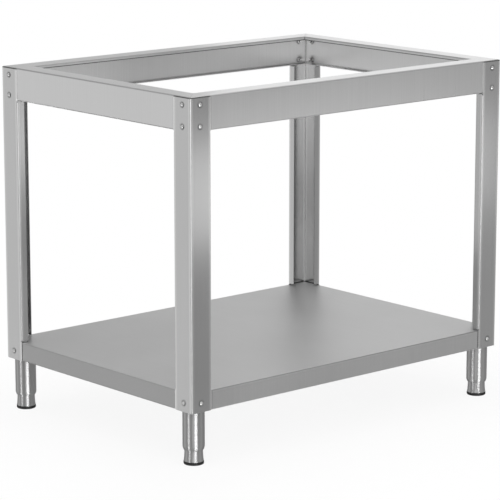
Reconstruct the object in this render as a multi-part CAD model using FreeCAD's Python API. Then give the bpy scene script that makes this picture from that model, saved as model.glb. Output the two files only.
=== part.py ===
"""Bolted stainless steel stand for an outdoor pizza oven, in millimetres.

Four bent posts carry an open frame of four channel rails and a folded shelf, and stand on four
round feet that screw in and out. The origin is on the floor under the middle of the stand,
with X along the long side, Y towards the rear and Z up.
"""

import FreeCAD, Part

import math
import os

from FreeCAD import Vector

# Overall size, over the posts and from the floor to the top of the rails
length = 980.0
depth = 700.0
height = 840.0
foot_height = 126.0

# Sheet gauges and the inside radius of every bend
post_sheet = 1.5
rail_sheet = 1.5
shelf_sheet = 1.2
bracket_sheet = 3.0
bend_radius = 2.0

# Posts
post_flange = 59.0
post_lip = 20.0
post_corner_round = 4.0
post_drop = 1.5
lip_end_gap = 2.5
relief_radius = 2.5

# Top rails
rail_height = 78.0
rail_flange = 50.0
rail_lip = 9.0
rail_hem = 15.0
mitre_gap = 0.5

# Shelf and the stiffener welded under it
shelf_edge = 46.0
shelf_return = 12.0
stiffener_width = 60.0
stiffener_flange = 20.0
stiffener_drop = 22.0
stiffener_end_gap = 24.0

# Foot brackets
bracket_reach = 55.0
bracket_tab = 34.0
bracket_relief = 9.0
bracket_round = 8.0

# Feet
foot_inset = 31.0
tube_radius = 25.4
tube_wall = 1.5
mouth_inset = 2.4
shoulder_height = 6.5
pad_height = 7.0
pad_rim = 0.4
pad_slant = 2.0
hub_radius = 5.0
hub_height = 6.0
sleeve_flare = 2.0
sleeve_flare_height = 24.0
sleeve_show = 27.0
sleeve_length = 64.0
sleeve_wall = 1.5
sleeve_base = 6.0
spindle_radius = 8.0
bush_height = 16.0
bush_above_sleeve = 5.0
plug_height = 10.0
stud_radius = 6.0
stud_length = 18.0

# Fasteners
bolt_radius = 3.0
bolt_head_radius = 6.2
bolt_head_height = 3.4
bolt_crown_radius = 3.6
bolt_inset = 28.0
rail_bolt_drop = 18.5
rail_bolt_rise = 11.0
rail_bolt_length = 12.0
shelf_bolt_rise = 21.0
shelf_bolt_length = 16.0
nut_width = 10.0
nut_height = 5.0
stud_nut_width = 19.0
stud_nut_height = 10.0
washer_radius = 10.5
washer_height = 2.0

# Clearances
hole_gap = 0.25
thread_gap = 0.05
press_gap = 0.05
turn_gap = 0.05
pad_gap = 0.3
mouth_gap = 0.5
spindle_gap = 4.7
corner_gap = 0.3
bracket_gap = 0.5

# Heights and radii that several pieces share
post_bottom = foot_height
post_top = height - post_drop
shelf_top = post_bottom + shelf_edge
lip_bottom = shelf_top + lip_end_gap
lip_top = height - rail_height - lip_end_gap
rail_bolt_heights = [height - rail_bolt_drop, height - rail_height + rail_bolt_rise]
shelf_bolt_height = post_bottom + shelf_bolt_rise
bracket_top = post_bottom + bracket_sheet
sleeve_bottom = pad_height + pad_gap
tube_mouth = sleeve_bottom + sleeve_show
plug_bottom = post_bottom - plug_height
tube_bore = tube_radius - tube_wall
mouth_radius = tube_bore - mouth_inset
sleeve_radius = mouth_radius - mouth_gap
sleeve_foot_radius = sleeve_radius + sleeve_flare
pad_radius = sleeve_foot_radius + pad_rim

CORNERS = {
    "front_left": (-1, -1),
    "front_right": (1, -1),
    "rear_left": (-1, 1),
    "rear_right": (1, 1),
}
X = Vector(1, 0, 0)
Y = Vector(0, 1, 0)
Z = Vector(0, 0, 1)
ORIGIN = Vector(0, 0, 0)


def unit(vector):
    """A vector's direction, leaving the vector itself as it is."""
    return vector * (1 / vector.Length)


def rounded_path(points, radii):
    """Edges through the points, with an arc in place of each inner point."""
    edges = []
    start = points[0]
    for before, point, after, radius in zip(points, points[1:], points[2:], radii):
        back = unit(before - point)
        ahead = unit(after - point)
        half_angle = back.getAngle(ahead) / 2
        reach = radius / math.tan(half_angle)
        arc_start = point + back * reach
        arc_end = point + ahead * reach
        arc_middle = point + unit(back + ahead) * (radius / math.sin(half_angle) - radius)
        edges.append(Part.LineSegment(start, arc_start).toShape())
        edges.append(Part.Arc(arc_start, arc_middle, arc_end).toShape())
        start = arc_end
    edges.append(Part.LineSegment(start, points[-1]).toShape())
    return edges


def moved_left(points, distance):
    """The path through the points, moved to its own left with its corners kept sharp."""
    lefts = [Z.cross(unit(after - before)) for before, after in zip(points, points[1:])]
    moved = [points[0] + lefts[0] * distance]
    for point, left_in, left_out in zip(points[1:], lefts, lefts[1:]):
        moved.append(point + (left_in + left_out) * (distance / (1 + left_in.dot(left_out))))
    moved.append(points[-1] + lefts[-1] * distance)
    return moved


def sheet_section(points, thickness):
    """Face of a bent sheet seen from its end, with the metal on the left of the given path."""
    near_radii = []
    far_radii = []
    for before, point, after in zip(points, points[1:], points[2:]):
        turns_left = (point - before).cross(after - point).z > 0
        near_radii.append(bend_radius + thickness if turns_left else bend_radius)
        far_radii.append(bend_radius if turns_left else bend_radius + thickness)
    far_points = moved_left(points, thickness)
    near = rounded_path(points, near_radii)
    far = rounded_path(far_points, far_radii)
    first_cap = Part.LineSegment(points[0], far_points[0]).toShape()
    last_cap = Part.LineSegment(points[-1], far_points[-1]).toShape()
    return Part.Face(Part.Wire(near + [last_cap] + far[::-1] + [first_cap]))


def along_x(section, half_length):
    """Extrudes a section drawn as (Y, Z) evenly to both sides of the middle, along X."""
    section.translate(Z * -half_length)
    body = section.extrude(Z * 2 * half_length)
    body.rotate(ORIGIN, Vector(1, 1, 1), 120)
    return body


def turned(outline):
    """Solid turned about Z from a closed outline of (radius, height) points."""
    corners = [Vector(radius, 0, level) for radius, level in outline + outline[:1]]
    return Part.Face(Part.makePolygon(corners)).revolve(ORIGIN, Z, 360)


def hexagon(width, tall):
    """Hexagonal prism standing on the XY plane, with its width across the flats."""
    points = [
        Vector(math.cos(turn), math.sin(turn), 0) * (width / math.sqrt(3))
        for turn in (math.radians(60 * side) for side in range(7))
    ]
    return Part.Face(Part.makePolygon(points)).extrude(Z * tall)


def at_corner(shape, side_x, side_y):
    """Places a shape that is drawn from a post's outer corner, inwards along +X and +Y."""
    placed = shape.copy()
    if side_x > 0:
        placed = placed.mirror(ORIGIN, X)
    if side_y > 0:
        placed = placed.mirror(ORIGIN, Y)
    placed.translate(Vector(side_x * length / 2, side_y * depth / 2, 0))
    return placed


def on_both_flanges(shape, levels):
    """Copies of a shape drawn inwards along Z, at a post's bolt places on both of its flanges."""
    copies = []
    for level in levels:
        for axis, angle, spot in ((X, -90, X * bolt_inset), (Y, 90, Y * bolt_inset)):
            placed = shape.copy()
            placed.rotate(ORIGIN, axis, angle)
            placed.translate(spot + Z * level)
            copies.append(placed)
    return copies


def bolt_holes(levels):
    """Cutters for a corner's bolt holes, long enough for every sheet that they pass through."""
    cutter = Part.makeCylinder(bolt_radius + hole_gap, shelf_bolt_length)
    return on_both_flanges(cutter, levels)


def edges_at(shape, test):
    """Edges of a shape whose two ends both pass a test."""
    open_edges = [edge for edge in shape.Edges if len(edge.Vertexes) == 2]
    return [edge for edge in open_edges if all(test(vertex.Point) for vertex in edge.Vertexes)]


def make_post():
    """Bent post, with its lips cut away where the rails and the shelf lie behind its flanges."""
    lipped = [
        Vector(post_lip, post_flange),
        Vector(0, post_flange),
        Vector(0, 0),
        Vector(post_flange, 0),
        Vector(post_flange, post_lip),
    ]
    spans = (
        (lipped[1:-1], post_bottom, lip_bottom),
        (lipped, lip_bottom, lip_top),
        (lipped[1:-1], lip_top, post_top),
    )
    runs = []
    for points, low, high in spans:
        section = sheet_section(points, post_sheet)
        section.translate(Z * low)
        runs.append(section.extrude(Z * (high - low)))
    post = runs[0].fuse(runs[1:]).removeSplitter()

    def is_free_corner(point):
        at_end = min(abs(point.z - post_bottom), abs(point.z - post_top)) < 0.01
        return at_end and abs(max(point.x, point.y) - post_flange) < 0.01

    post = post.makeFillet(post_corner_round, edges_at(post, is_free_corner))

    relief_depth = post_sheet + bend_radius
    for level in (lip_bottom, lip_top):
        front = Part.makeCylinder(relief_radius, relief_depth, Vector(post_flange, 0, level), Y)
        side = Part.makeCylinder(relief_radius, relief_depth, Vector(0, post_flange, level), X)
        post = post.cut([front, side])
    return post.cut(bolt_holes(rail_bolt_heights + [shelf_bolt_height]))


def make_rail(half_span, distance, post_corner_distance):
    """Channel rail in the front's place, with mitred flanges and a web cut square at its ends.

    half_span reaches from the middle to the inner faces of the side flanges of its posts,
    distance from the middle to its web's outer face, and post_corner_distance from the
    middle to the posts' outer faces.
    """
    points = [
        Vector(rail_flange, -rail_lip),
        Vector(rail_flange, 0),
        Vector(0, 0),
        Vector(0, -rail_height),
        Vector(rail_hem, -rail_height),
    ]
    web_end = half_span - max(bend_radius, rail_sheet) - corner_gap
    rail = along_x(sheet_section(points, rail_sheet), web_end)

    mitre_start = half_span - mitre_gap / 2
    overrun = rail_flange + rail_sheet
    waste = [
        Vector(mitre_start, 0, 0),
        Vector(mitre_start + overrun, 0, 0),
        Vector(mitre_start + overrun, overrun, 0),
        Vector(mitre_start - overrun, overrun, 0),
        Vector(mitre_start, 0, 0),
    ]
    mitre = Part.Face(Part.makePolygon(waste)).extrude(Z * -(rail_height + rail_sheet))
    mitre.translate(Z * rail_sheet / 2)
    rail = rail.cut([mitre, mitre.mirror(ORIGIN, X)])

    for side in (-1, 1):
        for level in rail_bolt_heights:
            spot = Vector(side * (post_corner_distance - bolt_inset), 0, level - height)
            rail = rail.cut(Part.makeCylinder(bolt_radius + hole_gap, rail_sheet, spot, Y))
    rail.translate(Vector(0, -distance, height))
    return rail


def make_shelf():
    """Folded tray with returns along its lower edges, left out at the foot brackets."""
    fold = bend_radius + shelf_sheet
    half_x = length / 2 - post_sheet
    half_y = depth / 2 - post_sheet
    trays = []
    for half_width, half_length in ((half_y, half_x), (half_x, half_y)):
        points = [
            Vector(half_width - shelf_return, post_bottom),
            Vector(half_width, post_bottom),
            Vector(half_width, shelf_top),
            Vector(-half_width, shelf_top),
            Vector(-half_width, post_bottom),
            Vector(-half_width + shelf_return, post_bottom),
        ]
        trays.append(along_x(sheet_section(points, shelf_sheet), half_length - fold))
    trays[1].rotate(ORIGIN, Z, 90)
    shelf = trays[0].fuse(trays[1]).removeSplitter()

    clear = shelf_sheet + bracket_reach + bracket_gap
    corner_room = Part.makeBox(clear, clear, fold, Vector(post_sheet, post_sheet, post_bottom))
    cutters = [corner_room] + bolt_holes([shelf_bolt_height])
    for sides in CORNERS.values():
        shelf = shelf.cut([at_corner(cutter, *sides) for cutter in cutters])
    return shelf


def make_stiffener():
    """Hat section lying along the shelf's underside."""
    half = stiffener_width / 2
    points = [
        Vector(half + stiffener_flange, 0),
        Vector(half, 0),
        Vector(half, -stiffener_drop),
        Vector(-half, -stiffener_drop),
        Vector(-half, 0),
        Vector(-half - stiffener_flange, 0),
    ]
    half_length = length / 2 - post_sheet - stiffener_end_gap
    stiffener = along_x(sheet_section(points, shelf_sheet), half_length)
    stiffener.translate(Z * (shelf_top - shelf_sheet))
    return stiffener


def make_bracket():
    """Base plate over a foot, with a tab turned up behind each edge of the shelf."""
    points = [Vector(0, bracket_tab), Vector(0, 0), Vector(bracket_reach, 0)]
    half = sheet_section(points, bracket_sheet).extrude(Z * -(bracket_reach - bracket_relief))
    half.translate(Z * -bracket_relief)
    half.rotate(ORIGIN, X, 90)
    other_half = half.mirror(ORIGIN, Vector(1, -1, 0))
    bracket = half.fuse(other_half).removeSplitter()

    def is_free_corner(point):
        return min(point.x, point.y) > bracket_reach - 0.01

    bracket = bracket.makeFillet(bracket_round, edges_at(bracket, is_free_corner))
    start = post_sheet + shelf_sheet
    bracket.translate(Vector(start, start, post_bottom))
    stud_hole = Part.makeCylinder(
        stud_radius + hole_gap, bracket_sheet, Vector(foot_inset, foot_inset, post_bottom)
    )
    return bracket.cut([stud_hole] + bolt_holes([shelf_bolt_height]))


def make_foot_tube():
    """Tube whose lower end is rolled in to guide the sleeve."""
    shoulder_top = tube_mouth + shoulder_height
    return turned([
        (mouth_radius, tube_mouth),
        (mouth_radius + tube_wall, tube_mouth),
        (tube_radius, shoulder_top),
        (tube_radius, post_bottom),
        (tube_bore, post_bottom),
        (tube_bore, shoulder_top),
    ])


def make_foot_plug():
    """Plug pressed into the tube's top, with the stud that holds the foot to its bracket."""
    plug_radius = tube_bore - press_gap
    stud_top = bracket_top + stud_length
    return turned([
        (0, plug_bottom),
        (plug_radius, plug_bottom),
        (plug_radius, post_bottom),
        (stud_radius, post_bottom),
        (stud_radius, stud_top),
        (0, stud_top),
    ])


def make_foot_bush():
    """Threaded bush pressed into the tube above the sleeve."""
    low = sleeve_bottom + sleeve_length + bush_above_sleeve
    high = low + bush_height
    outer = tube_bore - press_gap
    inner = spindle_radius + thread_gap
    return turned([(inner, low), (outer, low), (outer, high), (inner, high)])


def make_foot_sleeve():
    """Deep cup that slides in the tube's mouth and flares out to the pad."""
    inner = sleeve_radius - sleeve_wall
    bore = spindle_radius + press_gap
    base_top = sleeve_bottom + sleeve_base
    top = sleeve_bottom + sleeve_length
    return turned([
        (bore, sleeve_bottom),
        (sleeve_foot_radius, sleeve_bottom),
        (sleeve_radius, sleeve_bottom + sleeve_flare_height),
        (sleeve_radius, top),
        (inner, top),
        (inner, base_top),
        (bore, base_top),
    ])


def make_foot_spindle():
    """Screw fixed in the sleeve's base, with a blind bore that turns on the pad's hub."""
    top = plug_bottom - spindle_gap
    bore = hub_radius + turn_gap
    bore_top = pad_height + hub_height + pad_gap
    return turned([
        (bore, sleeve_bottom),
        (spindle_radius, sleeve_bottom),
        (spindle_radius, top),
        (0, top),
        (0, bore_top),
        (bore, bore_top),
    ])


def make_foot_pad():
    """Moulded pad with a slanted lower edge and a hub."""
    return turned([
        (0, 0),
        (pad_radius - pad_slant, 0),
        (pad_radius, pad_slant),
        (pad_radius, pad_height),
        (hub_radius, pad_height),
        (hub_radius, pad_height + hub_height),
        (0, pad_height + hub_height),
    ])


def make_bolt(shank):
    """Bolt drawn along Z, with the underside of its low tapered head on the XY plane."""
    return turned([
        (0, -bolt_head_height),
        (bolt_crown_radius, -bolt_head_height),
        (bolt_head_radius, 0),
        (bolt_radius, 0),
        (bolt_radius, shank),
        (0, shank),
    ])


def make_nut(seat):
    """Hexagonal nut drawn along Z, bearing at the given distance inside the post's outer face."""
    nut = hexagon(nut_width, nut_height)
    nut = nut.cut(Part.makeCylinder(bolt_radius + thread_gap, nut_height))
    nut.translate(Z * seat)
    return nut


def make_stud_washer():
    """Washer between a bracket and its stud nut."""
    outer = Part.makeCylinder(washer_radius, washer_height)
    washer = outer.cut(Part.makeCylinder(stud_radius + hole_gap, washer_height))
    washer.translate(Vector(foot_inset, foot_inset, bracket_top))
    return washer


def make_stud_nut():
    """Hexagonal nut that clamps a foot's stud to its bracket."""
    nut = hexagon(stud_nut_width, stud_nut_height)
    nut = nut.cut(Part.makeCylinder(stud_radius + thread_gap, stud_nut_height))
    nut.translate(Vector(foot_inset, foot_inset, bracket_top + washer_height))
    return nut


def write(name, shape):
    """Writes one node's shape as a STEP file."""
    shape.exportStep(os.path.join("parts", name + ".step"))


def write_at_corners(name, shape):
    """Writes a corner piece four times, named by its corner."""
    for corner, sides in CORNERS.items():
        write(f"{name}_{corner}", at_corner(shape, *sides))


def write_group(name, shapes):
    """Writes the same small pieces at all four corners as one node of separate solids."""
    solids = [at_corner(shape, *sides) for sides in CORNERS.values() for shape in shapes]
    write(name, Part.makeCompound(solids))


os.makedirs("parts", exist_ok=True)

write_at_corners("post", make_post())

front_distance = depth / 2 - post_sheet
side_distance = length / 2 - post_sheet
front_rail = make_rail(side_distance, front_distance, length / 2)
right_rail = make_rail(front_distance, side_distance, depth / 2)
right_rail.rotate(ORIGIN, Z, 90)
for name, rail, turn in (
    ("rail_front", front_rail, 0),
    ("rail_rear", front_rail, 180),
    ("rail_right", right_rail, 0),
    ("rail_left", right_rail, 180),
):
    placed = rail.copy()
    placed.rotate(ORIGIN, Z, turn)
    write(name, placed)

write("shelf", make_shelf())
write("shelf_stiffener", make_stiffener())
write_at_corners("foot_bracket", make_bracket())

foot_pieces = {
    "foot_tube": make_foot_tube(),
    "foot_plug": make_foot_plug(),
    "foot_bush": make_foot_bush(),
    "foot_sleeve": make_foot_sleeve(),
    "foot_spindle": make_foot_spindle(),
    "foot_pad": make_foot_pad(),
}
for name, shape in foot_pieces.items():
    shape.translate(Vector(foot_inset, foot_inset, 0))
    write_at_corners(name, shape)

rail_seat = post_sheet + rail_sheet
shelf_seat = post_sheet + shelf_sheet + bracket_sheet
write_group("rail_bolts", on_both_flanges(make_bolt(rail_bolt_length), rail_bolt_heights))
write_group("rail_nuts", on_both_flanges(make_nut(rail_seat), rail_bolt_heights))
write_group("shelf_bolts", on_both_flanges(make_bolt(shelf_bolt_length), [shelf_bolt_height]))
write_group("shelf_nuts", on_both_flanges(make_nut(shelf_seat), [shelf_bolt_height]))
write_group("stud_washers", [make_stud_washer()])
write_group("stud_nuts", [make_stud_nut()])
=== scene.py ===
# %% [markdown]
# # An outdoor pizza oven table
#
# The table is a bolted frame of bent stainless sheet: four posts, four channel rails, a folded
# shelf and four round feet that screw in and out. The sheet parts come from the measured CAD
# model and keep their shapes, so this lesson gives them their brushed steel. The small turned
# and threaded pieces are modelled here, because their round edges and threads are too fine
# for the CAD model.

# %% Load the measured frame
import math
from collections import namedtuple

import bmesh
import bpy
from mathutils import Matrix, Vector


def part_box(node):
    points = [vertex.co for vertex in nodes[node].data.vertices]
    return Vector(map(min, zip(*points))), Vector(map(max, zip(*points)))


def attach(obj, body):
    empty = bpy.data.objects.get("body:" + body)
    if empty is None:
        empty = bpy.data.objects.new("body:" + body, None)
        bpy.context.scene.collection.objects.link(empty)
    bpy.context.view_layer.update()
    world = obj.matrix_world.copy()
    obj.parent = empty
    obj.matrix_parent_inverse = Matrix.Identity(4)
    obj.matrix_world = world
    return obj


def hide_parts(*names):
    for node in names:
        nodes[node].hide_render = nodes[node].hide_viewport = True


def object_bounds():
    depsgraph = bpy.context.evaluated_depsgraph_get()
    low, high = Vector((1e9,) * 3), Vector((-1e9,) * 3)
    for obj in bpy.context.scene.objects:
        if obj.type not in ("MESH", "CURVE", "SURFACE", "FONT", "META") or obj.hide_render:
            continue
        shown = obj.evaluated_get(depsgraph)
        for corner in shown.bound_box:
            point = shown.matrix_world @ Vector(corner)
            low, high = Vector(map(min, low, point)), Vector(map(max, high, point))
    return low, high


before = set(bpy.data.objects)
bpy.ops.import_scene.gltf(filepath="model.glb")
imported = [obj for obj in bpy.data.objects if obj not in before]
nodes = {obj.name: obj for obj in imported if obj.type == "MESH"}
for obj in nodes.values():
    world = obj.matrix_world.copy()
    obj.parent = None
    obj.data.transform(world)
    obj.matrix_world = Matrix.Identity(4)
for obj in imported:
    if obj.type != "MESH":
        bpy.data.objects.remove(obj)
cad_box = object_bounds()
print("nodes", len(nodes), "box", cad_box)

# %% [markdown]
# ## Camera
#
# The photograph was taken from far away with a long lens: upright edges stay parallel and the
# far rail is almost as long as the near one. The camera below stands about six metres off,
# looks down a little and is turned towards the table's front left corner.

# %% Set the camera
camera_place = Vector((-3.9687, -4.5254, 1.6337))
camera_turn = math.radians(41.17)
camera_tilt = math.radians(11.77)
lens_mm = 181.4
sensor_mm = 36.0

camera_data = bpy.data.cameras.new("camera")
camera_data.lens = lens_mm
camera_data.sensor_width = sensor_mm
camera = bpy.data.objects.new("camera", camera_data)
camera.location = camera_place
camera.rotation_euler = (math.pi / 2 - camera_tilt, 0, -camera_turn)
bpy.context.scene.collection.objects.link(camera)
bpy.context.scene.camera = camera
bpy.context.scene.view_settings.view_transform = "Standard"
print("camera at", tuple(camera_place), "lens", lens_mm)

# %% [markdown]
# ## A small language for materials
#
# A finish is a formula: streaks times a little, plus broad stains, and so on. Wrapping a
# node's output in a class with Python's operators lets that formula be written as it is
# thought, and each operator adds the Math node that does the sum.


# %% Wrap a socket
class Value:
    """A node's output, which the arithmetic operators turn into Math nodes."""

    def __init__(self, recipe, socket):
        self.recipe = recipe
        self.socket = socket

    def math(self, operation, first, second):
        return self.recipe.node("ShaderNodeMath", {"operation": operation}, {0: first, 1: second})

    def __add__(self, other):
        return self.math("ADD", self, other)

    def __radd__(self, other):
        return self.math("ADD", other, self)

    def __sub__(self, other):
        return self.math("SUBTRACT", self, other)

    def __rsub__(self, other):
        return self.math("SUBTRACT", other, self)

    def __mul__(self, other):
        return self.math("MULTIPLY", self, other)

    def __rmul__(self, other):
        return self.math("MULTIPLY", other, self)

    def __truediv__(self, other):
        return self.math("DIVIDE", self, other)

    def clamp(self):
        return self.recipe.node("ShaderNodeClamp", {}, {0: self})


# %% [markdown]
# A recipe is a node tree with one method that adds a node. A few more methods stand for the
# groups of nodes that every finish needs. Noise swings about one half, so a finish takes that
# half away before it adds the noise to anything. The Mix node keeps sockets for every kind of
# value, and the numbers below are the places of its colours.

# %% Build node trees
noise_middle = 0.5
colour_inputs = (6, 7)
colour_output = 2


def grey(level):
    """A neutral colour."""
    return (level, level, level, 1.0)


def fill_ramp(ramp, stops):
    """Sets a ramp's stops from (place, grey level) pairs."""
    ramp.elements.remove(ramp.elements[-1])
    for place, level in stops:
        stop = ramp.elements.new(place)
        stop.color = grey(level)
    ramp.elements.remove(ramp.elements[0])


class Recipe:
    """A node tree that is filled by calls of its methods."""

    def __init__(self, tree):
        self.tree = tree
        tree.nodes.clear()

    def node(self, kind, settings, inputs, output=0):
        """Adds a node, sets it up, feeds its inputs and returns one of its outputs."""
        node = self.tree.nodes.new(kind)
        for name, setting in settings.items():
            if name == "stops":
                fill_ramp(node.color_ramp, setting)
            else:
                setattr(node, name, setting)
        for place, value in inputs.items():
            if isinstance(value, Value):
                self.tree.links.new(value.socket, node.inputs[place])
            else:
                node.inputs[place].default_value = value
        return Value(self, node.outputs[output]) if node.outputs else None

    def vector(self, operation, inputs, output=0):
        """Adds a Vector Math node."""
        placed = dict(enumerate(inputs))
        return self.node("ShaderNodeVectorMath", {"operation": operation}, placed, output)

    def mixed(self, factor, first, second):
        """Blends two colours."""
        sockets = {"Factor": factor, colour_inputs[0]: first, colour_inputs[1]: second}
        return self.node("ShaderNodeMix", {"data_type": "RGBA"}, sockets, colour_output)

    def position(self):
        """The place of a point in the table's own metres."""
        return self.node("ShaderNodeTexCoord", {}, {}, "Object")

    def stretched(self, place, scale):
        """A place with each of its axes scaled."""
        return self.node("ShaderNodeMapping", {}, {"Vector": place, "Scale": scale})

    def noise(self, place, scale, detail):
        """Smooth noise between 0 and 1."""
        inputs = {"Vector": place, "Scale": scale, "Detail": detail}
        return self.node("ShaderNodeTexNoise", {}, inputs)

    def relief(self, height, strength, distance):
        """A normal that leans as a height over the surface would make it lean."""
        inputs = {"Strength": strength, "Distance": distance, "Height": height}
        return self.node("ShaderNodeBump", {}, inputs)

    def surface(self, inputs):
        """Ends the tree with a Principled surface."""
        shader = self.node("ShaderNodeBsdfPrincipled", {}, inputs)
        self.node("ShaderNodeOutputMaterial", {}, {"Surface": shader})


# %% [markdown]
# A new material comes with a few nodes of its own. They are cleared away, so that its tree
# holds only what its recipe adds.


# %% Start a material
def new_material(name):
    """Makes an empty material and returns it with its recipe."""
    material = bpy.data.materials.new(name)
    material.use_nodes = True
    return material, Recipe(material.node_tree)


# %% [markdown]
# ## Painted light and shade on the sheet
#
# Light and shade along the folds and the cut edges are painted into the colour here, as bands of
# lighter or darker grey. They could be painted on by hand, but then they wouldn't follow a change
# of size. Here a mark is a few straight lines with a reach, a grey level and a roughness. Its mask
# is full over a narrow core beside each line and fades out with the distance from it.

# %% Mask the marks
Mark = namedtuple("Mark", "reach level roughness")
mark_core = 0.3


def line_mask(recipe, place, lines, reach):
    """1 along some lines of the sheet and 0 a few millimetres away from them.

    A line is a point on it, with None for each axis that it runs along. The table is the same
    on both sides, so the lines are told by their distances from its middle.
    """
    mirrored = recipe.vector("ABSOLUTE", [place])
    mask = 0.0
    for line in lines:
        across = tuple(0.0 if size is None else 1.0 for size in line)
        point = tuple(size or 0.0 for size in line)
        flat = recipe.vector("MULTIPLY", [recipe.vector("SUBTRACT", [mirrored, point]), across])
        distance = recipe.vector("LENGTH", [flat], "Value")
        mask = (1.0 + mark_core - distance / reach).clamp() + mask
    return mask.clamp()


# %% [markdown]
# ## Painted shade in corners
#
# Corners, creases and the rims round bolt heads are darkened in the colour, as painted shade. The
# Ambient Occlusion node tells how much of the sky is open to a point, past all that lies within a
# set reach of it, so it finds such places by itself.

# %% Paint shade into the corners
# The grey of the painted shade in corners, and the samples that find the corners.
painted_shade_level = 0.06
painted_shade_samples = 8


def with_painted_shade(recipe, colour, share, start, span, reach):
    """Darkens a colour by a share where little of the sky is open, as painted shade.

    It starts where the open part of the sky falls below start, and is full a span lower.
    """
    settings = {"samples": painted_shade_samples}
    open_part = recipe.node("ShaderNodeAmbientOcclusion", settings, {"Distance": reach}, "AO")
    painted_shade = ((start - open_part) / span).clamp() * share
    return recipe.mixed(painted_shade, colour, grey(painted_shade_level))


# %% [markdown]
# ## Brushed stainless sheet
#
# Sheet for kitchens is ground with a belt, which leaves fine scratches. They run along the
# posts, but across the rails and the shelf. From a step away they show as faint streaks in the
# shine. Noise that changes fast across the grain and slowly along it gives the streaks: they
# vary the tone and the roughness, and a bump of a few microns bends the highlights. A broad,
# soft noise adds the unevenness that handling leaves. The painted shade in corners spares the
# marks that are painted lighter than the sheet.

# %% Make the sheet finish
streak_width = 1 / 500
streak_length = 1 / 4
streak_detail = 2.0
streak_shine = 0.08
streak_strength = 0.06
streak_depth = 0.00004
stain_size = 1 / 5
stain_detail = 3.0
stain_shine = 0.06
tone_swing = 0.5
sheet_darkest = 0.90
sheet_lightest = 1.10
# Where the painted shade in corners starts, how fast it grows and how far it reaches.
sheet_painted_shade = {"start": 0.98, "span": 0.24, "reach": 0.0045}
usual_painted_shade = 0.85


def brushed_sheet(name, across, level, roughness, painted_shade=usual_painted_shade, marks=()):
    """Steel whose streaks lie side by side along the given axes, with (lines, mark) pairs."""
    material, recipe = new_material(name)
    place = recipe.position()
    scale = [1 / (streak_width if axis in across else streak_length) for axis in "XYZ"]
    streaks = recipe.noise(recipe.stretched(place, scale), 1.0, streak_detail)
    stains = recipe.noise(place, 1 / stain_size, stain_detail)
    streak_swing = streaks - noise_middle
    stain_swing = stains - noise_middle
    shine = roughness + streak_swing * streak_shine + stain_swing * stain_shine
    tone = (streak_swing * tone_swing + stain_swing * tone_swing + noise_middle).clamp()
    colour = recipe.mixed(tone, grey(level * sheet_darkest), grey(level * sheet_lightest))
    for lines, mark in marks:
        mask = line_mask(recipe, place, lines, mark.reach)
        if mark.level > level:
            # The painted shade in corners spares the marks painted lighter than the sheet.
            painted_shade = painted_shade * (1.0 - mask)
        colour = recipe.mixed(mask, colour, grey(mark.level))
        shine = shine + mask * (mark.roughness - roughness)
    recipe.surface({
        # The base colour carries painted shade in corners and creases.
        "Base Color": with_painted_shade(recipe, colour, painted_shade, **sheet_painted_shade),
        "Metallic": 1.0,
        "Roughness": shine,
        "Normal": recipe.relief(streaks, streak_strength, streak_depth),
    })
    print("finish", name, len(recipe.tree.nodes), "nodes")
    return material


# %% [markdown]
# ## Posts
#
# The three long folds of a post, at its corner and at its two lips, get a painted highlight, a
# band of lighter grey. Its upper end gets a thin painted shadow line along the cut edge. Both are
# placed by the sizes of the CAD part, so they stay on the folds.

# %% Finish the posts
# A painted highlight along the posts' folds.
painted_fold_highlight = Mark(reach=0.0070, level=0.84, roughness=0.26)
# A painted shadow line along cut edges: the posts' upper ends and the lips' lower edges.
painted_edge_shadow = Mark(reach=0.0020, level=0.05, roughness=0.50)
corners = ("front_left", "front_right", "rear_left", "rear_right")


def give(names, material):
    """Puts one material on CAD nodes."""
    for name in names:
        for slot in nodes[name].material_slots:
            slot.material = material


post_low, post_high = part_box("post_front_right")
half_x = post_high.x
half_y = -post_low.y
flange = post_high.x - post_low.x
post_folds = [
    (half_x, half_y, None),
    (half_x - flange, half_y, None),
    (half_x, half_y - flange, None),
]
post_marks = ((post_folds, painted_fold_highlight), ([(None, None, post_high.z)], painted_edge_shadow))
# Each part of the same steel gets its own grey, set to how light or dark it shows, which paints
# its light and shade.
posts = brushed_sheet("post_steel", "XY", level=0.60, roughness=0.20, marks=post_marks)
give([f"post_{corner}" for corner in corners], posts)
print("half length", round(half_x, 4), "half depth", round(half_y, 4), "flange", round(flange, 4))

# %% [markdown]
# ## Rails
#
# The outer folds of the rails get painted shade, a darker grey with a little more roughness,
# and their inner folds, where the lips turn down, a darker painted shade still. The lower edge of
# each lip gets the same painted shadow line as the posts' ends. A short rail is a long one turned
# through a right angle, so one function gives the marks of both.

# %% Finish the rails
# Painted shade along the rails' outer and inner folds.
painted_outer_fold_shade = Mark(reach=0.0026, level=0.46, roughness=0.34)
painted_inner_fold_shade = Mark(reach=0.0026, level=0.27, roughness=0.34)
rail_lip = 0.009
rail_low, rail_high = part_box("rail_front")
side_low, side_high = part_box("rail_right")


def rail_marks(outer, inner):
    """A rail's folds and the lower edge of its lip, each with its distance and its height."""
    top = rail_high.z
    # Painted shade on both folds, and a painted shadow line along the lip's lower edge.
    return (outer, top, painted_outer_fold_shade), (inner, top, painted_inner_fold_shade), (inner, top - rail_lip, painted_edge_shadow)


long_marks = [
    ([(None, distance, level)], mark)
    for distance, level, mark in rail_marks(-rail_low.y, -rail_high.y)
]
short_marks = [
    ([(distance, None, level)], mark)
    for distance, level, mark in rail_marks(side_high.x, side_low.x)
]
for names, finish_name, across, marks in (
    (["rail_front", "rail_rear"], "rail_steel_long", "X", long_marks),
    (["rail_left", "rail_right"], "rail_steel_short", "Y", short_marks),
):
    # The rails get a lighter grey of the same steel than the posts, as painted light.
    give(names, brushed_sheet(finish_name, across, 0.75, roughness=0.30, painted_shade=0.45, marks=marks))

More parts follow.
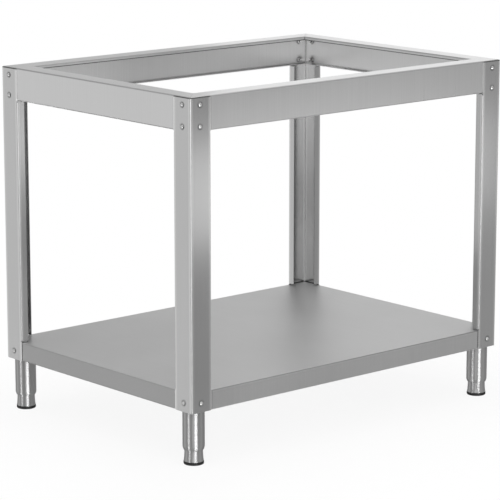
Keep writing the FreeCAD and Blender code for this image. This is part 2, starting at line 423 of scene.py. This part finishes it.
# %% [markdown]
# ## Shelf
#
# The shelf's long folds get a dark painted shade, and its short sides a lighter painted shade.
# The stiffener under it and the foot brackets are out of sight, so they are plain.

# %% Finish the shelf and the brackets
# Painted shade on the shelf's short sides and along its long folds.
painted_side_shade = Mark(reach=0.0015, level=0.51, roughness=0.42)
painted_long_fold_shade = Mark(reach=0.0020, level=0.12, roughness=0.40)
shelf_low, shelf_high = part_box("shelf")
shelf_marks = (
    ([(shelf_high.x, None, None)], painted_side_shade),
    ([(None, shelf_high.y, shelf_high.z)], painted_long_fold_shade),
)
# The shelf, stiffener and brackets get their own darker greys of the same steel, as painted shade.
give(["shelf"], brushed_sheet("shelf_steel", "X", level=0.62, roughness=0.42, marks=shelf_marks))
give(["shelf_stiffener"], brushed_sheet("stiffener_steel", "YZ", level=0.56, roughness=0.34))
brackets = brushed_sheet("bracket_steel", "YZ", level=0.52, roughness=0.40)
give([f"foot_bracket_{corner}" for corner in corners], brackets)

# %% [markdown]
# ## Turned steel
#
# The feet are polished on a lathe, so their scratches run round them. Noise that changes very
# fast up a foot and slowly across it gives such rings without a seam. The Anisotropic socket
# draws a highlight out across the scratches, and the threaded pieces do without it.

# %% Make the turned finish
ring_scale = (12, 12, 1400)
ring_detail = 2.0
ring_shine = 0.08
ring_strength = 0.10
ring_depth = 0.00003
ring_darkest = 0.94
ring_lightest = 1.06
round_the_axis = 0.25


def turned_steel(name, level, roughness, spread):
    """Steel with scratches that run round the upright axis of each piece."""
    material, recipe = new_material(name)
    rings = recipe.stretched(recipe.position(), ring_scale)
    lines = recipe.noise(rings, 1.0, ring_detail)
    recipe.surface({
        "Base Color": recipe.mixed(lines, grey(level * ring_darkest), grey(level * ring_lightest)),
        "Metallic": 1.0,
        "Roughness": roughness + (lines - noise_middle) * ring_shine,
        "Anisotropic": spread,
        "Anisotropic Rotation": round_the_axis,
        "Normal": recipe.relief(lines, ring_strength, ring_depth),
    })
    return material


foot_finish = turned_steel("foot_steel", level=0.52, roughness=0.32, spread=0.95)
screw_finish = turned_steel("machined_steel", level=0.52, roughness=0.34, spread=0.0)
give([f"foot_bush_{corner}" for corner in corners], screw_finish)
print("turned finishes", foot_finish.name, screw_finish.name)

# %% [markdown]
# ## Plated steel
#
# Bolts, nuts and washers are zinc plated and shine evenly. The plating bath leaves a faint
# mottling, which a fine noise gives to the tone and the roughness together. The bolt heads
# stand on the sheets, so a ring of painted shade darkens their rims.

# %% Make the plated finish
mottle_scale = 700.0
mottle_detail = 3.0
mottle_shine = 0.12
mottle_darkest = 0.90
mottle_lightest = 1.08
# The painted shade round the rims of the bolt heads.
bolt_painted_shade = {"share": 0.95, "start": 0.97, "span": 0.10, "reach": 0.012}


def plated_steel(name, level, roughness, painted_shade=None):
    """Evenly plated steel with the faint mottling of its bath."""
    material, recipe = new_material(name)
    mottle = recipe.noise(recipe.position(), mottle_scale, mottle_detail)
    colour = recipe.mixed(mottle, grey(level * mottle_darkest), grey(level * mottle_lightest))
    recipe.surface({
        # Painted shade round the rims, where the finish asks for it.
        "Base Color": with_painted_shade(recipe, colour, **painted_shade) if painted_shade else colour,
        "Metallic": 1.0,
        "Roughness": roughness + (mottle - noise_middle) * mottle_shine,
    })
    return material


# The bolts get a lighter grey than the nuts and washers of the same plating: a painted highlight
# on the domes, and painted shade on the nuts in the corner.
fastener_finish = plated_steel("fastener_steel", level=0.86, roughness=0.20, painted_shade=bolt_painted_shade)
nut_finish = plated_steel("nut_steel", level=0.60, roughness=0.50)
print("plated finishes", fastener_finish.name, nut_finish.name)

# %% [markdown]
# ## Moulded plastic
#
# The pads are black plastic. Their mould leaves a fine grain, which is a bump, and use leaves
# scuffs, which a coarser noise gives to the tone and the roughness.

# %% Make the pads' finish
pit_scale = 2500.0
pit_detail = 2.0
pit_strength = 0.3
pit_depth = 0.00005
scuff_scale = 90.0
scuff_detail = 4.0
scuff_shine = 0.2
plastic_darkest = 0.004
plastic_lightest = 0.010
plastic_roughness = 0.50


def moulded_plastic(name):
    """Black plastic with the fine grain of its mould."""
    material, recipe = new_material(name)
    place = recipe.position()
    pits = recipe.noise(place, pit_scale, pit_detail)
    scuffs = recipe.noise(place, scuff_scale, scuff_detail)
    recipe.surface({
        "Base Color": recipe.mixed(scuffs, grey(plastic_darkest), grey(plastic_lightest)),
        "Roughness": plastic_roughness + (scuffs - noise_middle) * scuff_shine,
        "Normal": recipe.relief(pits, pit_strength, pit_depth),
    })
    return material


pad_finish = moulded_plastic("pad_plastic")
print("moulded finish", pad_finish.name)

# %% [markdown]
# ## From a bmesh to an object
#
# Every new piece ends in the same way. Points that coincide are merged, the faces are turned
# outwards, and the mesh is repeated at each of its places, as one object that stays at the
# origin. Shading is smooth across an edge that bends a little and breaks at a real corner.

# %% Finish a mesh
smooth_angle = math.radians(35)
weld_distance = 1e-7


def finish_mesh(bm, name, material, places):
    """Writes a bmesh, repeated at every place, as one object with smooth round faces."""
    bmesh.ops.remove_doubles(bm, verts=bm.verts, dist=weld_distance)
    bmesh.ops.recalc_face_normals(bm, faces=bm.faces)
    one = bpy.data.meshes.new(name)
    bm.to_mesh(one)
    bm.free()
    gathered = bmesh.new()
    for place in places:
        part = one.copy()
        part.transform(place)
        gathered.from_mesh(part)
        bpy.data.meshes.remove(part)
    for edge in gathered.edges:
        edge.smooth = edge.calc_face_angle(0.0) < smooth_angle
    for face in gathered.faces:
        face.smooth = True
    gathered.to_mesh(one)
    gathered.free()
    piece = bpy.data.objects.new(name, one)
    bpy.context.scene.collection.objects.link(piece)
    one.materials.append(material)
    return piece


# %% [markdown]
# ## Shapes turned on a lathe
#
# Tubes, sleeves, pads and bolt heads are all round, so each is one outline spun about its
# axis. The outline is a closed wire of a few points. Bevelling a point before the spin rounds
# that edge all the way round at no extra cost.

# %% Turn an outline
turn_steps = 64
small_turn_steps = 32
round_segments = 5
round_profile = 0.5


def outline_wire(bm, outline):
    """Draws a closed wire of (radius, height, rounding) points, where 0 leaves a point sharp."""
    verts = [bm.verts.new((radius, 0, level)) for radius, level, _ in outline]
    for start, end in zip(verts, verts[1:] + verts[:1]):
        bm.edges.new((start, end))
    for vert, (*_, rounding) in zip(verts, outline):
        if rounding:
            bmesh.ops.bevel(
                bm, geom=[vert], offset=rounding, segments=round_segments,
                profile=round_profile, affect="VERTICES", material=-1,
            )


def turned(outline, steps=turn_steps):
    """A bmesh of one outline spun about the upright axis."""
    bm = bmesh.new()
    outline_wire(bm, outline)
    bmesh.ops.spin(
        bm, geom=bm.verts[:] + bm.edges[:], cent=(0, 0, 0), axis=(0, 0, 1), angle=2 * math.pi,
        steps=steps, use_merge=True,
    )
    bmesh.ops.remove_doubles(bm, verts=bm.verts, dist=weld_distance)
    return bm


# %% [markdown]
# ## Threads
#
# A thread is one tooth carried round and up. Spinning the tooth with a lift of one pitch a
# turn gives the screw surface, and two flat cuts, each filled, give it clean ends.

# %% Cut a thread
thread_depth = 0.55
crest_start = 0.4
crest_end = 0.6
thread_steps = 20
bolt_thread_steps = 16
level_tolerance = 1e-6


def threaded_rod(radius, pitch, bottom, top, steps=thread_steps):
    """A bmesh of a threaded rod that stands between two levels."""
    root = radius - pitch * thread_depth
    turns = math.ceil((top - bottom) / pitch) + 2
    start = bottom - pitch
    tooth = (
        (root, 0.0), (radius, pitch * crest_start), (radius, pitch * crest_end), (root, pitch),
    )
    bm = bmesh.new()
    verts = [bm.verts.new((reach, 0, start + rise)) for reach, rise in tooth]
    edges = [bm.edges.new(pair) for pair in zip(verts, verts[1:])]
    bmesh.ops.spin(
        bm, geom=verts + edges, cent=(0, 0, 0), axis=(0, 0, 1), dvec=(0, 0, pitch / steps),
        angle=2 * math.pi * turns, steps=steps * turns, use_merge=False,
    )
    bmesh.ops.remove_doubles(bm, verts=bm.verts, dist=weld_distance)
    for level, way in ((bottom, -1), (top, 1)):
        bmesh.ops.bisect_plane(
            bm, geom=bm.verts[:] + bm.edges[:] + bm.faces[:], plane_co=(0, 0, level),
            plane_no=(0, 0, way), clear_outer=True, dist=weld_distance,
        )
        rim = [
            edge for edge in bm.edges if edge.is_boundary
            and all(abs(vert.co.z - level) < level_tolerance for vert in edge.verts)
        ]
        bmesh.ops.contextual_create(bm, geom=rim)
    return bm


def joined(*parts):
    """Moves several bmeshes into one."""
    whole = bmesh.new()
    for part in parts:
        mesh = bpy.data.meshes.new("part")
        part.to_mesh(mesh)
        part.free()
        whole.from_mesh(mesh)
        bpy.data.meshes.remove(mesh)
    return whole


# %% [markdown]
# ## Feet
#
# Each foot is a two inch tube with its lower end rolled in, a sleeve that slides in it and
# flares to the floor, and a plastic pad. A spindle in the sleeve runs in a bush in the tube.
# The places and overall sizes are read from the CAD nodes, and the wall and the rounding of
# each edge are added here. Two helpers come first: one reads the size of a round node, and the
# other puts a finished piece in a node's place.


# %% Helpers for pieces that stand for CAD nodes
def spread_of(node):
    """Axis, outer radius, bottom and top of a round CAD node."""
    low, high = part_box(node)
    middle = (low + high) / 2
    return Matrix.Translation((middle.x, middle.y, 0)), (high.x - low.x) / 2, low.z, high.z


def show(bm, name, finish, places, body, node):
    """Finishes a piece that takes a CAD node's place."""
    piece = finish_mesh(bm, name, finish, places)
    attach(piece, body)
    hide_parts(node)


print("foot tube radius", round(spread_of("foot_tube_front_left")[1], 4))

# %% [markdown]
# The tube is spun from the section of its wall. The mouth is rolled in below a rounded
# shoulder, and it guides the sleeve.

# %% Model a foot's tube
tube_wall = 0.0015
mouth_roll = 0.0024
mouth_inner_edge = 0.0003
mouth_outer_edge = 0.0007
shoulder_height = 0.0065
shoulder_outer_round = 0.0022
shoulder_inner_round = 0.0008


def add_tube(corner):
    """The tube of one foot, which hangs from its bracket."""
    node = f"foot_tube_{corner}"
    place, tube_radius, bottom, top = spread_of(node)
    bore = tube_radius - tube_wall
    mouth = bore - mouth_roll
    shoulder = bottom + shoulder_height
    tube = turned([
        (mouth, bottom, mouth_inner_edge),
        (mouth + tube_wall, bottom, mouth_outer_edge),
        (tube_radius, shoulder, shoulder_outer_round),
        (tube_radius, top, 0),
        (bore, top, 0),
        (bore, shoulder, shoulder_inner_round),
    ])
    show(tube, f"tube_{corner}", foot_finish, [place], "stand", node)


# %% [markdown]
# The sleeve flares to the floor in an easy curve: two points of its outline get a wide
# rounding. Its base is thick, and the spindle is fixed in it.

# %% Model a foot's sleeve
sleeve_flare = 0.0020
flare_height = 0.0240
sleeve_base = 0.0060
heel_edge = 0.0008
flare_round = 0.0060
sleeve_top_edge = 0.0004
bend_height_share = 0.35
bend_flare_share = 0.38


def add_sleeve(corner):
    """The sleeve of one foot, which is turned by hand."""
    node = f"foot_sleeve_{corner}"
    place, foot_radius, bottom, top = spread_of(node)
    sleeve_radius = foot_radius - sleeve_flare
    bore = sleeve_radius - tube_wall
    spindle_radius = spread_of(f"foot_spindle_{corner}")[1]
    base_top = bottom + sleeve_base
    bend_radius = sleeve_radius + sleeve_flare * bend_flare_share
    sleeve = turned([
        (spindle_radius, bottom, 0),
        (foot_radius, bottom, heel_edge),
        (bend_radius, bottom + flare_height * bend_height_share, flare_round),
        (sleeve_radius, bottom + flare_height, flare_round),
        (sleeve_radius, top, sleeve_top_edge),
        (bore, top, 0),
        (bore, base_top, 0),
        (spindle_radius, base_top, 0),
    ])
    show(sleeve, f"sleeve_{corner}", foot_finish, [place], f"foot_{corner}_screw",
         node)


# %% [markdown]
# The spindle is plain in the sleeve's base and a little above it, and then threaded. Its lower
# end is bored, and it turns on the hub of the pad with some room all round.

# %% Model a foot's spindle
collar_height = 0.0040
spindle_pitch = 0.0020
hub_radius = 0.0050
running_gap = 0.0003


def add_spindle(corner):
    """The spindle of one foot, which turns and rises with the sleeve."""
    node = f"foot_spindle_{corner}"
    place, spindle_radius, bottom, top = spread_of(node)
    hub_bore = hub_radius + running_gap
    bore_top = spread_of(f"foot_pad_{corner}")[3] + running_gap
    collar_top = spread_of(f"foot_sleeve_{corner}")[2] + sleeve_base + collar_height
    collar = turned([
        (hub_bore, bottom, 0),
        (spindle_radius, bottom, 0),
        (spindle_radius, collar_top, 0),
        (0.0, collar_top, 0),
        (0.0, bore_top, 0),
        (hub_bore, bore_top, 0),
    ], small_turn_steps)
    thread = threaded_rod(spindle_radius, spindle_pitch, collar_top, top)
    show(joined(collar, thread), f"spindle_{corner}", screw_finish, [place],
         f"foot_{corner}_screw", node)


# %% [markdown]
# The pad is a round plate with a hub. It stays on the floor while the sleeve turns on it, so
# it rides on a body of its own.

# %% Model a foot's pad
hub_height = 0.0060
hub_edge = 0.0006
pad_lower_round = 0.0026
pad_upper_edge = 0.0008


def add_pad(corner):
    """The pad of one foot, which doesn't turn."""
    node = f"foot_pad_{corner}"
    place, pad_radius, bottom, hub_top = spread_of(node)
    pad_top = hub_top - hub_height
    pad = turned([
        (0.0, bottom, 0),
        (pad_radius, bottom, pad_lower_round),
        (pad_radius, pad_top, pad_upper_edge),
        (hub_radius, pad_top, 0),
        (hub_radius, hub_top, hub_edge),
        (0.0, hub_top, 0),
    ])
    show(pad, f"pad_{corner}", pad_finish, [place], f"foot_{corner}_pad", node)


for corner in corners:
    add_tube(corner)
    add_sleeve(corner)
    add_spindle(corner)
    add_pad(corner)
print("feet", len(corners), "with four pieces each")

# %% [markdown]
# ## Hexagonal nuts
#
# A nut starts as a six-sided prism. Its corners are turned off at each end by a cone of 30
# degrees, which is cut here by a ring of slanted planes, and the bore is bridged through.

# %% Model a nut
chamfer_slope = math.radians(30)
chamfer_cuts = 24
chamfer_start = 0.475
facing_up = 0.999


def cut_and_fill(bm, point, normal):
    """Cuts away what lies beyond a plane and closes the cut."""
    cut = bmesh.ops.bisect_plane(
        bm, geom=bm.verts[:] + bm.edges[:] + bm.faces[:], plane_co=point, plane_no=normal,
        clear_outer=True, dist=weld_distance,
    )
    rim = [item for item in cut["geom_cut"] if isinstance(item, bmesh.types.BMEdge)]
    open_rim = [edge for edge in rim if edge.is_boundary]
    if len(open_rim) > 2:
        bmesh.ops.contextual_create(bm, geom=open_rim)


def hex_nut(width, tall, bore_radius):
    """A bmesh of a nut that stands on the XY plane."""
    bm = bmesh.new()
    corner_radius = width / math.sqrt(3)
    bmesh.ops.create_cone(
        bm, cap_ends=True, segments=6, radius1=corner_radius, radius2=corner_radius, depth=tall,
    )
    bmesh.ops.translate(bm, verts=bm.verts, vec=(0, 0, tall / 2))
    face_radius = width * chamfer_start
    for step in range(chamfer_cuts):
        turn = 2 * math.pi * (step + 0.5) / chamfer_cuts
        outwards = Vector((math.cos(turn), math.sin(turn), 0))
        for level, up in ((tall, 1), (0.0, -1)):
            upwards = Vector((0, 0, up * math.cos(chamfer_slope)))
            normal = outwards * math.sin(chamfer_slope) + upwards
            cut_and_fill(bm, outwards * face_radius + Vector((0, 0, level)), normal)
    flats = [face for face in bm.faces if abs(face.normal.z) > facing_up]
    bmesh.ops.inset_individual(bm, faces=flats, thickness=face_radius - bore_radius)
    rims = [edge for face in flats for edge in face.edges]
    bmesh.ops.delete(bm, geom=flats, context="FACES_ONLY")
    bmesh.ops.bridge_loops(bm, edges=rims)
    return bm


# %% [markdown]
# ## Bolts
#
# The bolts have domed heads. A bolt is modelled upright, with its head below the level at which
# it bears on the post. The dome is a cap of a sphere, so the points of its outline follow from
# the head's radius and height.

# %% Model a bolt
head_radius = 0.0062
head_height = 0.0034
dome_steps = 7
bolt_radius = 0.0030
bolt_pitch = 0.0010


def domed_bolt(length):
    """A bmesh of a bolt whose domed head lies below the XY plane."""
    dome_radius = (head_radius ** 2 + head_height ** 2) / (2 * head_height)
    widest = math.asin(head_radius / dome_radius)
    dome = []
    for step in range(dome_steps + 1):
        tilt = widest * step / dome_steps
        level = dome_radius * (1 - math.cos(tilt)) - head_height
        dome.append((dome_radius * math.sin(tilt), level, 0))
    head = turned([*dome, (0.0, 0.0, 0)], small_turn_steps)
    return joined(head, threaded_rod(bolt_radius, bolt_pitch, 0.0, length, bolt_thread_steps))


# %% [markdown]
# ## Bolts and nuts in their places
#
# Two bolts hold each end of a rail and one holds each corner of the shelf, on both flanges of
# a post. One bolt and one nut of each kind are modelled and then repeated at every hole. The
# nut bears on the innermost of the sheets behind the post.

# %% Place the bolts and nuts
bolt_inset = 0.028
rail_bolt_length = 0.012
shelf_bolt_length = 0.016
nut_width = 0.010
nut_height = 0.005
thread_gap = 0.00005
rail_seat = 0.0030
shelf_seat = 0.0057
rail_bolt_drop = 0.0185
rail_bolt_rise = 0.011
shelf_bolt_rise = 0.021
rail_levels = (rail_high.z - rail_bolt_drop, rail_low.z + rail_bolt_rise)
shelf_levels = (shelf_low.z + shelf_bolt_rise,)


def on_flanges(levels):
    """Places on both flanges of every post, with Z pointing into the table."""
    places = []
    for side_x in (-1, 1):
        for side_y in (-1, 1):
            for level in levels:
                for spot, inward in (
                    ((side_x * (half_x - bolt_inset), side_y * half_y, level), (0, -side_y, 0)),
                    ((side_x * half_x, side_y * (half_y - bolt_inset), level), (-side_x, 0, 0)),
                ):
                    turn = Vector(inward).to_track_quat("Z", "Y").to_matrix().to_4x4()
                    places.append(Matrix.Translation(spot) @ turn)
    return places


for kind, length, seat, levels in (
    ("rail", rail_bolt_length, rail_seat, rail_levels),
    ("shelf", shelf_bolt_length, shelf_seat, shelf_levels),
):
    places = on_flanges(levels)
    show(domed_bolt(length), f"{kind}_bolt_set", fastener_finish, places, "stand",
         f"{kind}_bolts")
    nut = hex_nut(nut_width, nut_height, bolt_radius + thread_gap)
    bmesh.ops.translate(nut, verts=nut.verts, vec=(0, 0, seat))
    show(nut, f"{kind}_nut_set", nut_finish, places, "stand", f"{kind}_nuts")
    print(kind, len(places), "bolts and nuts")

# %% [markdown]
# ## Plugs and studs
#
# Each foot hangs from a stud that stands on the plug in its tube. The stud passes the bracket
# inside the post and is held there by a washer and a large nut.

# %% Model the plugs, washers and large nuts
stud_pitch = 0.00175
stud_radius = 0.0060
plug_lower_edge = 0.0008
plug_upper_edge = 0.0006
washer_radius = 0.0105
washer_edge = 0.0004
washer_steps = 48
stud_nut_width = 0.019

foot_places = []
for corner in corners:
    place, _, _, tube_top = spread_of(f"foot_tube_{corner}")
    foot_places.append(place)
    _, plug_radius, plug_bottom, stud_top = spread_of(f"foot_plug_{corner}")
    plug = turned([
        (0.0, plug_bottom, 0),
        (plug_radius, plug_bottom, plug_lower_edge),
        (plug_radius, tube_top, plug_upper_edge),
        (0.0, tube_top, 0),
    ])
    stud = threaded_rod(stud_radius, stud_pitch, tube_top, stud_top)
    show(joined(plug, stud), f"plug_{corner}", screw_finish, [place], "stand",
         f"foot_plug_{corner}")

washer_low, washer_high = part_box("stud_washers")
washer_bore = stud_radius + running_gap
washer = turned([
    (washer_bore, washer_low.z, 0),
    (washer_radius, washer_low.z, washer_edge),
    (washer_radius, washer_high.z, washer_edge),
    (washer_bore, washer_high.z, 0),
], washer_steps)
show(washer, "stud_washer_set", nut_finish, foot_places, "stand", "stud_washers")

stud_nut_low, stud_nut_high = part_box("stud_nuts")
nut = hex_nut(stud_nut_width, stud_nut_high.z - stud_nut_low.z, stud_radius + thread_gap)
bmesh.ops.translate(nut, verts=nut.verts, vec=(0, 0, stud_nut_low.z))
show(nut, "stud_nut_set", nut_finish, foot_places, "stand", "stud_nuts")
print("plugs", len(foot_places), "plug radius", round(plug_radius, 4))

# %% [markdown]
# ## Studio
#
# The photograph is a catalogue picture on white. Steel shows what stands round it, so the
# studio decides how it looks. The world goes by two things: the angle of a direction round the
# table, from the camera's side, and its height. Round the horizon, and mostly below it, lies
# one band with the white paper sweep behind the table and the lit floor round it, which the
# upright faces mirror. Under and over that band the room is dimmer, with two upright strips of
# light on the camera's side, which draw the stripes down the feet. They are strong under the
# band and weaker over it, so that the shelf doesn't glare when it is seen from the side.

# %% Set the bands of light
right_way = Vector((math.cos(camera_turn), -math.sin(camera_turn), 0))
back_way = Vector((math.sin(camera_turn), math.cos(camera_turn), 0))

sweep_band = (
    (-180, 1.0), (-168, 1.0), (-158, 0.36), (-122, 0.42), (-108, 0.78), (-97, 0.78), (-82, 0.44),
    (-20, 0.38), (16, 0.42), (45, 0.44), (62, 0.36), (78, 0.33), (90, 0.43), (98, 0.42),
    (158, 0.36), (168, 1.0), (180, 1.0),
)
lower_band = (
    (-180, 0.42), (-168, 0.42), (-156, 0.10), (-120, 0.12), (-108, 0.38), (-62, 0.38), (-60, 6.0),
    (-47, 6.0), (-43, 0.40), (-26, 0.40), (-18, 0.04), (2, 0.04), (10, 0.35), (17, 9.5),
    (38, 9.5), (44, 0.10), (60, 0.25), (75, 0.48), (95, 0.42), (110, 0.16), (156, 0.16),
    (168, 0.42), (180, 0.42),
)
upper_band = (
    (-180, 0.42), (-168, 0.42), (-156, 0.10), (-120, 0.12), (-108, 0.38), (-62, 0.38), (-59, 1.5),
    (-47, 1.5), (-43, 0.40), (-26, 0.40), (-18, 0.06), (2, 0.06), (10, 0.35), (17, 1.8),
    (38, 1.8), (44, 0.30), (60, 0.25), (75, 0.48), (95, 0.42), (110, 0.16), (156, 0.16),
    (168, 0.42), (180, 0.42),
)
print("stops", len(sweep_band), len(lower_band), len(upper_band))

# %% [markdown]
# Each ray of the world is told by dot products with three directions: two of them give its
# angle and the third its height. The bands become ramps round the angle, and they are blended
# by height, with an even grey above for the sky and one below for the ground.

# %% Light the world
sky_light = 0.85
ground_light = 0.45
sweep_bottom = (-0.44, -0.40)
sweep_top = (0.10, 0.16)
horizon = (-0.10, 0.05)
sky_start = (0.35, 0.75)
ground_start = (-0.50, -0.75)

world = bpy.data.worlds.new("studio")
world.use_nodes = True
bpy.context.scene.world = world
air = Recipe(world.node_tree)
view_way = air.node("ShaderNodeTexCoord", {}, {}, "Generated")


def towards(direction):
    """How far a ray points along a direction, from -1 to 1."""
    return air.vector("DOT_PRODUCT", [view_way, direction], "Value")


def rising(value, low, high):
    """A ramp from 0 at one level to 1 at another, and level beyond them."""
    return ((value - low) / (high - low)).clamp()


def around(turn, band):
    """A grey level that changes with the angle round the table."""
    stops = [(degrees / 360 + 0.5, level) for degrees, level in band]
    return air.node("ShaderNodeValToRGB", {"stops": stops}, {0: turn})


to_camera = 0.0 - towards(back_way)
turn = air.node("ShaderNodeMath", {"operation": "ARCTAN2"}, {0: towards(right_way), 1: to_camera})
turn = turn / (2 * math.pi) + 0.5
rise = towards(Vector((0, 0, 1)))
in_sweep = rising(rise, *sweep_bottom) * (1.0 - rising(rise, *sweep_top))
room = air.mixed(rising(rise, *horizon), around(turn, lower_band), around(turn, upper_band))
room = air.mixed(in_sweep, room, around(turn, sweep_band))
room = air.mixed(rising(rise, *sky_start), room, grey(sky_light))
room = air.mixed(rising(rise, *ground_start), room, grey(ground_light))
background = air.node("ShaderNodeBackground", {}, {"Color": room, "Strength": 1.0})
air.node("ShaderNodeOutputWorld", {}, {"Surface": background})
print("world nodes", len(world.node_tree.nodes))

# %% [markdown]
# Softboxes do the rest. Each is a rectangle whose own brightness is set, so that a lamp that
# shows in the steel is as bright there as the photograph's reflections: one overhead, one
# behind for the top flanges, a low one on the right for the posts, and two on the camera's
# side, one above the other, for the inside of the far corner.


# %% Set the softboxes
def studio_place(back, right, up):
    """A place told by its distances behind and to the right of the table, and its height."""
    return back_way * back + right_way * right + Vector((0, 0, up))


def softbox(name, place, target, width, height, brightness):
    """A rectangular lamp that points at a target, with its surface brightness given."""
    data = bpy.data.lights.new(name, "AREA")
    data.shape = "RECTANGLE"
    data.size = width
    data.size_y = height
    data.energy = brightness * math.pi * width * height
    lamp = bpy.data.objects.new(name, data)
    lamp.location = place
    lamp.rotation_euler = (Vector(target) - Vector(place)).to_track_quat("-Z", "Y").to_euler()
    lamp.visible_camera = False
    bpy.context.scene.collection.objects.link(lamp)
    print("softbox", name, round(data.energy, 2), "W")


back_place = studio_place(back=2.6, right=0.55, up=1.45)
front_place = studio_place(back=-2.7, right=0, up=0.7)
corner_place = studio_place(back=-2.7, right=0, up=2.0)
softbox("overhead", (0, 0, 3.0), (0, 0, 0), width=2.4, height=2.0, brightness=0.9)
softbox("back_panel", back_place, back_place - back_way, width=1.4, height=0.5, brightness=0.78)
softbox("post_panel", (1.05, -1.55, 0.33), (1.05, 0, 0.33), width=1.3, height=0.30,
        brightness=0.66)
softbox("front_panel", front_place, (0, 0, 0.7), width=1.4, height=1.6, brightness=0.95)
softbox("corner_panel", corner_place, (0.3, 0.2, 0.4), width=1.4, height=1.0, brightness=1.5)

# %% [markdown]
# The floor is a thin white paper under the table. It is mostly clear, so that the table's
# shadow on it stays as faint as in the photograph, and it fades out past the feet.

# %% Lay the floor
floor_margin = 0.45
fade_width = 0.35
paper_white = 0.93
paper_share = 0.10

far_corner = cad_box[1]
reach_x = far_corner[0] + floor_margin
reach_y = far_corner[1] + floor_margin
bm = bmesh.new()
bmesh.ops.create_grid(bm, x_segments=1, y_segments=1, size=1.0)
bmesh.ops.scale(bm, verts=bm.verts, vec=(reach_x, reach_y, 1))
floor_mesh = bpy.data.meshes.new("floor")
bm.to_mesh(floor_mesh)
bm.free()
floor = bpy.data.objects.new("floor", floor_mesh)
bpy.context.scene.collection.objects.link(floor)
floor_material, paint = new_material("floor_paper")
spot = paint.position()


def from_edge(axis, reach):
    """How far inside the floor's edge a spot lies along one axis, as a share of the fade."""
    along = paint.node("ShaderNodeSeparateXYZ", {}, {0: spot}, axis)
    distance = paint.node("ShaderNodeMath", {"operation": "ABSOLUTE"}, {0: along})
    return ((reach - distance) / fade_width).clamp()


shown = from_edge("X", reach_x) * from_edge("Y", reach_y) * paper_share
paper = paint.node("ShaderNodeBsdfDiffuse", {}, {"Color": grey(paper_white)})
clear = paint.node("ShaderNodeBsdfTransparent", {}, {})
blend = paint.node("ShaderNodeMixShader", {}, {0: shown, 1: clear, 2: paper})
paint.node("ShaderNodeOutputMaterial", {}, {"Surface": blend})
floor_mesh.materials.append(floor_material)
print("floor reach", round(reach_x, 3), round(reach_y, 3))
